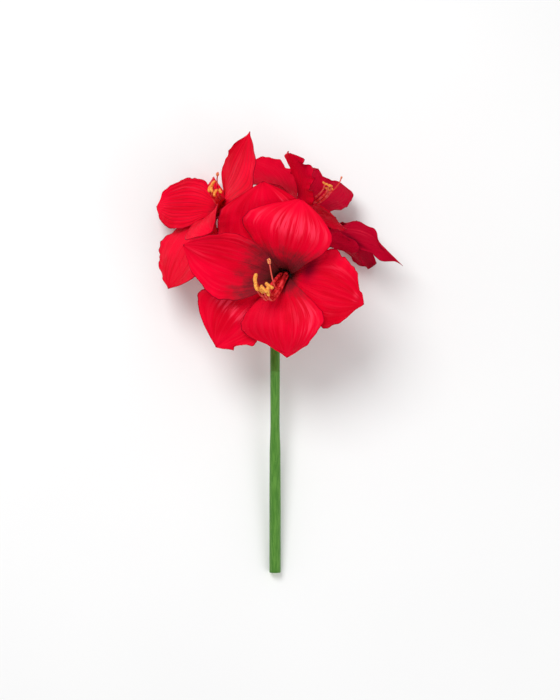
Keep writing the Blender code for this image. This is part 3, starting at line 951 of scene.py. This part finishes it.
def flower_stalk_piece(bloom, looks, finish):
    """A bent flower stalk, with its three-sided seed pod and the peg inside the petals."""
    turn = radians(bloom.root_azimuth)
    outward = Vector((cos(turn), 0, -sin(turn)))
    root = outward * PEDICEL_SPREAD + Vector((0, STALK_TOP + SEAT_GAP, 0))
    bloom_frame = bloom_matrix(bloom)
    out = bloom_frame.to_3x3() @ Vector((0, 0, 1))
    foot = bloom_frame.translation
    pod_foot = foot - out * OVARY_LENGTH
    rise = root + Vector((0, PEDICEL_RISE, 0))
    reach = (pod_foot - rise).length
    lead = rise + (Vector((0, 1, 0)) + outward * PEDICEL_BEND) * reach * PEDICEL_BEND
    arrive = pod_foot - out * min(reach * 0.5, PEDICEL_ARRIVAL)
    path = [root, *interpolate_bezier(rise, lead, arrive, pod_foot, PEDICEL_STEPS)]
    radii = [PEDICEL_ROOT_RADIUS, *tapered(PEDICEL_ROOT_RADIUS, PEDICEL_RADIUS, PEDICEL_STEPS)]
    pod_from = len(path)
    outline = [(0.0, PEDICEL_RADIUS / OVARY_RADIUS), *OVARY_OUTLINE]
    for k in range(1, OVARY_STEPS + 1):
        share = k / OVARY_STEPS * OVARY_OUTLINE[-1][0]
        at = max(i for i in range(len(outline) - 1) if outline[i][0] < share)
        (low, a), (high, b) = outline[at], outline[at + 1]
        path.append(pod_foot + out * OVARY_LENGTH * share)
        radii.append(OVARY_RADIUS * mix(a, b, smooth(low, high, share)))
    pod_to = len(path)
    path += [foot, foot + out * PEG_LENGTH]
    radii += [PEG_RADIUS, PEG_RADIUS]

    def lobed(step, angle):
        inside = pod_from <= step < pod_to
        swell = sin(pi * (step - pod_from + 1) / (pod_to - pod_from + 1)) if inside else 0.0
        return 1 - OVARY_GROOVES * swell * (1 - abs(cos(1.5 * angle)))

    bm = empty_bmesh()
    sweep(bm, path, radii, PEDICEL_SIDES, shape=lobed)
    along = bm.verts.layers.float["along"]
    peg_from = (len(path) - 3) / (len(path) - 1) - 0.001
    for face in bm.faces:
        if min(vertex[along] for vertex in face.verts) > peg_from:
            face.material_index = 2
    closed_piece("skin", bm, PLANT, f"{bloom.name}_flower_stalk", finish)


def stalk_piece(looks, finish):
    """The main stalk: a smooth stem with faint ribs and a cut end of pale flesh."""
    outline = (
        (STALK_FOOT_RADIUS - looks.edge, STALK_FOOT),
        (STALK_FOOT_RADIUS, STALK_FOOT + looks.edge),
        *STALK_OUTLINE,
        (STALK_TOP_RADIUS - looks.edge, STALK_TOP),
    )
    path = []
    radii = []
    for (r0, y0), (r1, y1) in zip(outline, outline[1:]):
        steps = max(1, round((y1 - y0) / (STALK_TOP - STALK_FOOT) * looks.rings))
        for k in range(steps):
            path.append(Vector((0, mix(y0, y1, k / steps), 0)))
            radii.append(mix(r0, r1, smooth(0, 1, k / steps)))
    path.append(Vector((0, STALK_TOP, 0)))
    radii.append(outline[-1][0])

    def ribbed(step, angle):
        rib = cos(angle * 9 + 0.6 * sin(angle * 2)) * looks.ribs / STALK_FOOT_RADIUS
        soft = noise.noise(Vector((cos(angle) * 1.3, sin(angle) * 1.3, path[step].y * 30)))
        return 1 + rib + STALK_UNEVEN * soft

    bm = empty_bmesh()
    sweep(bm, path, radii, looks.sides, shape=ribbed)
    cut = [f for f in bm.faces if len(f.verts) > 4]
    for face in cut:
        face.material_index = 1
    bmesh.ops.inset_individual(bm, faces=cut, thickness=CUT_RIM, depth=-CUT_DEPTH)
    closed_piece("skin", bm, PLANT, "stalk", finish)


def add_node(tree, kind, inputs=None, **settings):
    """A shader node with its settings, and its inputs set or joined to other nodes."""
    made = tree.nodes.new(kind)
    for key, value in settings.items():
        setattr(made, key, value)
    for socket, value in (inputs or {}).items():
        if isinstance(value, bpy.types.NodeSocket):
            tree.links.new(value, made.inputs[socket])
        else:
            made.inputs[socket].default_value = value
    return made


def blend_colors(tree, share, first, second):
    """The colour between two, by a share."""
    ends = [c if isinstance(c, bpy.types.NodeSocket) else (*c, 1.0) for c in (first, second)]
    inputs = {0: share, 6: ends[0], 7: ends[1]}
    return add_node(tree, "ShaderNodeMix", inputs, data_type="RGBA").outputs[2]


def ramp(tree, value, low, high, to_low=0.0, to_high=1.0):
    """A smooth step of a value between two limits."""
    limits = {"From Min": low, "From Max": high, "To Min": to_low, "To Max": to_high}
    made = add_node(
        tree, "ShaderNodeMapRange", {"Value": value, **limits}, interpolation_type="SMOOTHSTEP"
    )
    return made.outputs[0]


def calc(tree, operation, first, second=0.0):
    """A difference, a power or the like of two values."""
    return add_node(tree, "ShaderNodeMath", {0: first, 1: second}, operation=operation).outputs[0]


def times(tree, first, second):
    """The product of two values."""
    return calc(tree, "MULTIPLY", first, second)


def plus(tree, first, second):
    """The sum of two values."""
    return calc(tree, "ADD", first, second)


def noise_at(tree, place, scale, detail, roughness=0.5):
    """The value of a soft noise at a place."""
    inputs = {"Vector": place, "Scale": scale, "Detail": detail, "Roughness": roughness}
    return add_node(tree, "ShaderNodeTexNoise", inputs).outputs[0]


def shader_group(name, inputs, outputs):
    """A new node group with its sockets, the values that it is given and its output node."""
    group = bpy.data.node_groups.new(name, "ShaderNodeTree")
    for socket in inputs:
        kind = "NodeSocketVector" if socket == "Place" else "NodeSocketFloat"
        group.interface.new_socket(socket, in_out="INPUT", socket_type=kind)
    for socket in outputs:
        group.interface.new_socket(socket, in_out="OUTPUT", socket_type="NodeSocketFloat")
    given = group.nodes.new("NodeGroupInput").outputs
    return group, given, group.nodes.new("NodeGroupOutput")


def streaks_group():
    """Fine lengthwise streaks: a mask from where a point lies across and along a blade."""
    name = "lengthwise_streaks"
    if name in bpy.data.node_groups:
        return bpy.data.node_groups[name]
    inputs = ("Place", "Seed", "Across", "Along", "Low", "High")
    group, given, out = shader_group(name, inputs, ("Mask",))
    parts = add_node(group, "ShaderNodeSeparateXYZ", {0: given["Place"]}).outputs
    x = times(group, parts[0], given["Across"])
    y = times(group, parts[1], given["Along"])
    spot = add_node(group, "ShaderNodeCombineXYZ", {0: x, 1: y, 2: given["Seed"]}).outputs[0]
    mask = ramp(group, noise_at(group, spot, 1.0, 3.0, 0.55), given["Low"], given["High"])
    group.links.new(mask, out.inputs["Mask"])
    return group


def grain_group():
    """Fine grain: a mask of its light spots, and its height."""
    name = "fine_grain"
    if name in bpy.data.node_groups:
        return bpy.data.node_groups[name]
    inputs = ("Place", "Scale", "Detail", "Low", "High")
    group, given, out = shader_group(name, inputs, ("Mask", "Height"))
    height = noise_at(group, given["Place"], given["Scale"], given["Detail"])
    group.links.new(ramp(group, height, given["Low"], given["High"]), out.inputs["Mask"])
    group.links.new(height, out.inputs["Height"])
    return group


def streaks(tree, place, seed, across, along, low, high):
    """A mask of lengthwise streaks in a material."""
    names = ("Place", "Seed", "Across", "Along", "Low", "High")
    values = dict(zip(names, (place, seed, across, along, low, high)))
    return add_node(tree, "ShaderNodeGroup", values, node_tree=streaks_group()).outputs["Mask"]


def grain(tree, place, scale, low=0.0, high=1.0, detail=2.0):
    """The mask and the height of the fine grain in a material."""
    values = {"Place": place, "Scale": scale, "Detail": detail, "Low": low, "High": high}
    made = add_node(tree, "ShaderNodeGroup", values, node_tree=grain_group())
    return made.outputs["Mask"], made.outputs["Height"]


def new_material(name):
    """An empty material, with its node tree and its shader."""
    made = bpy.data.materials.new(name)
    made.use_nodes = True
    tree = made.node_tree
    return made, tree, tree.nodes["Principled BSDF"]


def object_place(tree):
    """Where a point lies on its object."""
    return add_node(tree, "ShaderNodeTexCoord").outputs["Object"]


def raise_bumps(tree, shader, strength, distance, height):
    """Small bumps in a surface, from a height."""
    inputs = {"Strength": strength, "Distance": distance, "Height": height}
    bump = add_node(tree, "ShaderNodeBump", inputs)
    tree.links.new(bump.outputs[0], shader.inputs["Normal"])


def grained_material(name, dark, light, scale, limits, roughness, detail=2.0, bumps=None):
    """Two colours that meet in a fine grain, which may stand up in small bumps."""
    made, tree, shader = new_material(name)
    mask, height = grain(tree, object_place(tree), scale, *limits, detail)
    tree.links.new(blend_colors(tree, mask, dark, light), shader.inputs["Base Color"])
    shader.inputs["Roughness"].default_value = roughness
    if bumps:
        raise_bumps(tree, shader, *bumps, height)
    return made


def attribute(tree, name):
    """A number kept on the mesh."""
    return add_node(tree, "ShaderNodeAttribute", attribute_name=name).outputs["Fac"]


def petal_material(looks, outer_face):
    """Red blade with lengthwise veins, streaks of painted pink sheen, painted highlights and
    shade, a dark throat that is partly painted shade, and a thin dark margin.
    """
    made, tree, shader = new_material("petal_outer_face" if outer_face else "petal_inner_face")
    place = add_node(tree, "ShaderNodeUVMap", uv_map="blade").outputs[0]
    across, along, _ = add_node(tree, "ShaderNodeSeparateXYZ", {0: place}).outputs
    seed = attribute(tree, "seed")
    broad = streaks(tree, place, seed, 11.0, 1.5, 0.44, 0.60)
    sharp = streaks(tree, place, seed, 26.0, 2.6, 0.47, 0.60)
    fine = streaks(tree, place, seed, 80.0, 5.0, 0.42, 0.66)
    where = object_place(tree)
    mottle, clouds = grain(tree, where, 22.0, 0.36, 0.64)
    blotches = grain(tree, where, 85.0)[1]
    crimp = grain(tree, where, 240.0)[1]

    # The blade has veins and streaks of painted pink sheen, and painted shade dulls it to a
    # purplish red on the rear blooms, which face away from the light.
    waves = calc(tree, "SINE", plus(tree, times(tree, across, 88.0), times(tree, clouds, 9.0)))
    vein = times(tree, ramp(tree, waves, 0.55, 1.0), attribute(tree, "vein"))
    middle = ramp(tree, along, 0.30, 0.55, 0.0, 0.05 if outer_face else 0.08)
    tone = times(tree, attribute(tree, "tone"), 0.85)

    # A light mark is a painted highlight: streaky, and damped where painted shade dulls the blade.
    lit = plus(tree, plus(tree, times(tree, fine, 0.35), sharp), 0.12)
    lit = times(tree, lit, attribute(tree, "light"))
    lit = times(tree, lit, calc(tree, "SUBTRACT", 1.0, times(tree, tone, 0.7)))

    # The margin and the tip are dark.
    side = calc(tree, "ABSOLUTE", calc(tree, "SUBTRACT", across, 0.5))
    margin = calc(tree, "MAXIMUM", ramp(tree, side, 0.482, 0.499), ramp(tree, along, 0.985, 1.0))
    coats = [
        (times(tree, broad, 0.45), looks.bright),
        (times(tree, vein, 0.55), looks.shadow),
        # Painted sheen: pink streaks that grow from the middle of the blade outwards.
        (times(tree, sharp, middle), looks.painted_sheen_pink),
        # Painted shade: duller purplish red where the blade faces away from the light.
        (tone, looks.painted_shade_magenta),
        # Painted highlight: the light marks, in the pink of the sheen.
        (ramp(tree, lit, 0.0, 1.1, 0.0, 0.9), looks.painted_sheen_pink),
        # Painted shadow from the dark marks, in hollows and where petals overlap.
        (attribute(tree, "dark"), looks.shadow),
        (times(tree, margin, 0.75), looks.shadow),
    ]

    # The foot, and on the inner face the throat with its ragged edge, whose burgundy is partly the
    # flower's own colour and partly painted shade of the deep funnel.
    if outer_face:
        coats.append((ramp(tree, along, 0.22, 0.02, 0.0, 0.8), looks.base))
    else:
        worn = plus(tree, times(tree, sharp, 0.07), times(tree, blotches, 0.5))
        ragged = calc(tree, "SUBTRACT", plus(tree, attribute(tree, "throat"), 0.25), worn)
        coats.append((ramp(tree, ragged, 0.98, 0.52), looks.throat))
        coats.append((ramp(tree, ragged, 0.55, 0.20), looks.base))

    color = blend_colors(tree, mottle, looks.deep, looks.bright)
    for share, coat in coats:
        color = blend_colors(tree, share, color, coat)
    tree.links.new(color, shader.inputs["Base Color"])
    height = plus(tree, plus(tree, fine, sharp), times(tree, crimp, 0.5))
    raise_bumps(tree, shader, 0.4, 0.0003, height)
    shader.inputs["Roughness"].default_value = 0.48
    shader.inputs["Specular IOR Level"].default_value = 0.03
    return made


def thread_material(looks):
    """A red thread that pales to pink towards its tip."""
    made, tree, shader = new_material("stamen_thread")
    share = ramp(tree, attribute(tree, "along"), 0.55, 1.0)
    color = blend_colors(tree, share, looks.thread, looks.thread_tip)
    tree.links.new(color, shader.inputs["Base Color"])
    shader.inputs["Roughness"].default_value = 0.4
    return made


def pollen_material(looks):
    """Yellow pollen with orange grains."""
    colors = (looks.pollen_dark, looks.pollen)
    bumps = (0.7, 0.0004)
    return grained_material("pollen", *colors, 900.0, (0.42, 0.62), 0.85, detail=3.0, bumps=bumps)


def stigma_material(looks):
    """The salmon tip of a pistil, slightly moist."""
    return grained_material("stigma", looks.thread_tip, looks.stigma, 700.0, (0.4, 0.65), 0.35)


def stalk_material(looks):
    """Satin green with faint lengthwise stripes and small pale specks."""
    made, tree, shader = new_material("stalk_skin")
    where = object_place(tree)
    inputs = {"Vector": where, "Scale": (520.0, 9.0, 520.0)}
    stretched = add_node(tree, "ShaderNodeMapping", inputs).outputs[0]
    mask, stripes = grain(tree, stretched, 1.0, 0.35, 0.7, 3.0)
    color = blend_colors(tree, mask, looks.green, looks.green_light)
    specks = grain(tree, where, 1400.0, 0.66, 0.76, 1.0)[0]
    color = blend_colors(tree, times(tree, specks, 0.25), color, looks.flesh)
    tree.links.new(color, shader.inputs["Base Color"])
    tree.links.new(ramp(tree, stripes, 0.3, 0.7, 0.42, 0.52), shader.inputs["Roughness"])
    shader.inputs["Specular IOR Level"].default_value = 0.2
    raise_bumps(tree, shader, 0.25, 0.0003, stripes)
    return made


def flesh_material(looks):
    """The cut face: pale green flesh with small pores."""
    made, tree, shader = new_material("stalk_cut")
    inputs = {"Vector": object_place(tree), "Scale": 1100.0}
    pores = add_node(tree, "ShaderNodeTexVoronoi", inputs).outputs[0]
    color = blend_colors(tree, ramp(tree, pores, 0.1, 0.45), looks.green_light, looks.flesh)
    tree.links.new(color, shader.inputs["Base Color"])
    shader.inputs["Roughness"].default_value = 0.6
    return made


def peg_material():
    """The peg deep inside the petals, almost black as painted shade of the funnel, with a touch of
    green.
    """
    return grained_material("peg", *PEG_COLORS, 300.0, (0.3, 0.7), 0.7)


def floor_material(looks):
    """A plain pale floor with the faintest mottle."""
    pale = tuple(c * 0.985 for c in looks.floor)
    return grained_material("floor", pale, looks.floor, 3.0, (0.3, 0.7), 0.9)


def area_light(name, place, power):
    """A large soft light that points at the flower head, placed in the plant's directions."""
    lamp = bpy.data.lights.new(name, "AREA")
    lamp.shape = "DISK"
    lamp.size = LIGHT_SIZE
    lamp.energy = power
    thing = bpy.data.objects.new(name, lamp)
    bpy.context.scene.collection.objects.link(thing)
    thing.location = PLANT @ Vector(place)
    way = thing.location - HEAD_PLACE
    thing.rotation_euler = way.to_track_quat("Z", "Y").to_euler()


def photo_camera():
    """The camera, which looks straight at the front bloom's side of the plant."""
    right = (PICTURE[0] / 2 - HEAD_PIXEL[0]) * METRES_PER_PIXEL
    up = (HEAD_PIXEL[1] - PICTURE[1] / 2) * METRES_PER_PIXEL
    lens = bpy.data.cameras.new("photo_camera")
    lens.sensor_width = SENSOR
    lens.lens = SENSOR * CAMERA_DISTANCE / (max(PICTURE) * METRES_PER_PIXEL)
    lens.clip_start = 0.01
    camera = bpy.data.objects.new("photo_camera", lens)
    bpy.context.scene.collection.objects.link(camera)
    camera.matrix_world = PLANT @ Matrix.Translation((right, up, CAMERA_DISTANCE))
    bpy.context.scene.camera = camera


class AMARYLLIS_OT_petals(Operator):
    """Add the petals of all the blooms"""

    bl_idname = "amaryllis.petals"
    bl_label = "Petals"

    def execute(self, context):
        looks = context.scene.amaryllis_petals
        finish = (petal_material(looks, True), petal_material(looks, False))
        for bloom in BLOOMS:
            for ring, petals in (("inner", bloom.inner), ("outer", bloom.outer)):
                for number, petal in enumerate(petals, 1):
                    petal_piece(bloom, petal, ring, number, looks, finish)
        return {"FINISHED"}


class AMARYLLIS_OT_stamens(Operator):
    """Add the stamens of all the blooms"""

    bl_idname = "amaryllis.stamens"
    bl_label = "Stamens"

    def execute(self, context):
        looks = context.scene.amaryllis_stamens
        finish = (thread_material(looks), pollen_material(looks))
        for bloom in BLOOMS:
            stamens_piece(bloom, looks, finish)
        return {"FINISHED"}


class AMARYLLIS_OT_pistils(Operator):
    """Add the pistils of all the blooms"""

    bl_idname = "amaryllis.pistils"
    bl_label = "Pistils"

    def execute(self, context):
        looks = context.scene.amaryllis_stamens
        finish = (thread_material(looks), stigma_material(looks))
        for bloom in BLOOMS:
            pistil_piece(bloom, looks, finish)
        return {"FINISHED"}


class AMARYLLIS_OT_stalks(Operator):
    """Add the main stalk and the flower stalks"""

    bl_idname = "amaryllis.stalks"
    bl_label = "Stalks"

    def execute(self, context):
        looks = context.scene.amaryllis_stalks
        finish = (stalk_material(looks), flesh_material(looks), peg_material())
        stalk_piece(looks, finish[:2])
        for bloom in BLOOMS:
            flower_stalk_piece(bloom, looks, finish)
        return {"FINISHED"}


class AMARYLLIS_OT_stage(Operator):
    """Add the floor, the lights and the camera"""

    bl_idname = "amaryllis.stage"
    bl_label = "Stage"

    def execute(self, context):
        looks = context.scene.amaryllis_stage
        bm = bmesh.new()
        bmesh.ops.create_grid(bm, x_segments=1, y_segments=1, size=FLOOR_HALF)
        mesh = bpy.data.meshes.new("floor")
        bm.to_mesh(mesh)
        bm.free()
        mesh.materials.append(floor_material(looks))
        floor = bpy.data.objects.new("floor", mesh)
        context.scene.collection.objects.link(floor)
        area_light("key_light", KEY_PLACE, looks.key)
        area_light("fill_light", FILL_PLACE, looks.fill)
        world = bpy.data.worlds.new("soft_sky")
        world.use_nodes = True
        sky = world.node_tree.nodes["Background"]
        sky.inputs["Color"].default_value = (1, 1, 1, 1)
        sky.inputs["Strength"].default_value = looks.sky
        context.scene.world = world
        context.scene.view_settings.view_transform = "Standard"
        photo_camera()
        return {"FINISHED"}


class AMARYLLIS_PT_panel(Panel):
    """The stem's pieces, in the order that they are made"""

    bl_idname = "AMARYLLIS_PT_panel"
    bl_label = "Amaryllis"
    bl_space_type = "VIEW_3D"
    bl_region_type = "UI"
    bl_category = "Amaryllis"

    def draw(self, context):
        for operator in OPERATORS:
            self.layout.operator(operator.bl_idname)


OPERATORS = (
    AMARYLLIS_OT_stage,
    AMARYLLIS_OT_stalks,
    AMARYLLIS_OT_petals,
    AMARYLLIS_OT_stamens,
    AMARYLLIS_OT_pistils,
)
SETTINGS = {
    "amaryllis_petals": PetalSettings,
    "amaryllis_stamens": StamenSettings,
    "amaryllis_stalks": StalkSettings,
    "amaryllis_stage": StageSettings,
}


def register():
    for kind in (*SETTINGS.values(), *OPERATORS, AMARYLLIS_PT_panel):
        bpy.utils.register_class(kind)
    for name, kind in SETTINGS.items():
        setattr(bpy.types.Scene, name, PointerProperty(type=kind))


def unregister():
    for name in SETTINGS:
        delattr(bpy.types.Scene, name)
    for kind in (AMARYLLIS_PT_panel, *reversed(OPERATORS), *SETTINGS.values()):
        bpy.utils.unregister_class(kind)


def main():
    register()
    bpy.ops.amaryllis.stage()
    bpy.ops.amaryllis.stalks()
    bpy.ops.amaryllis.petals()
    bpy.ops.amaryllis.stamens()
    bpy.ops.amaryllis.pistils()


if __name__ == "__main__":
    main()
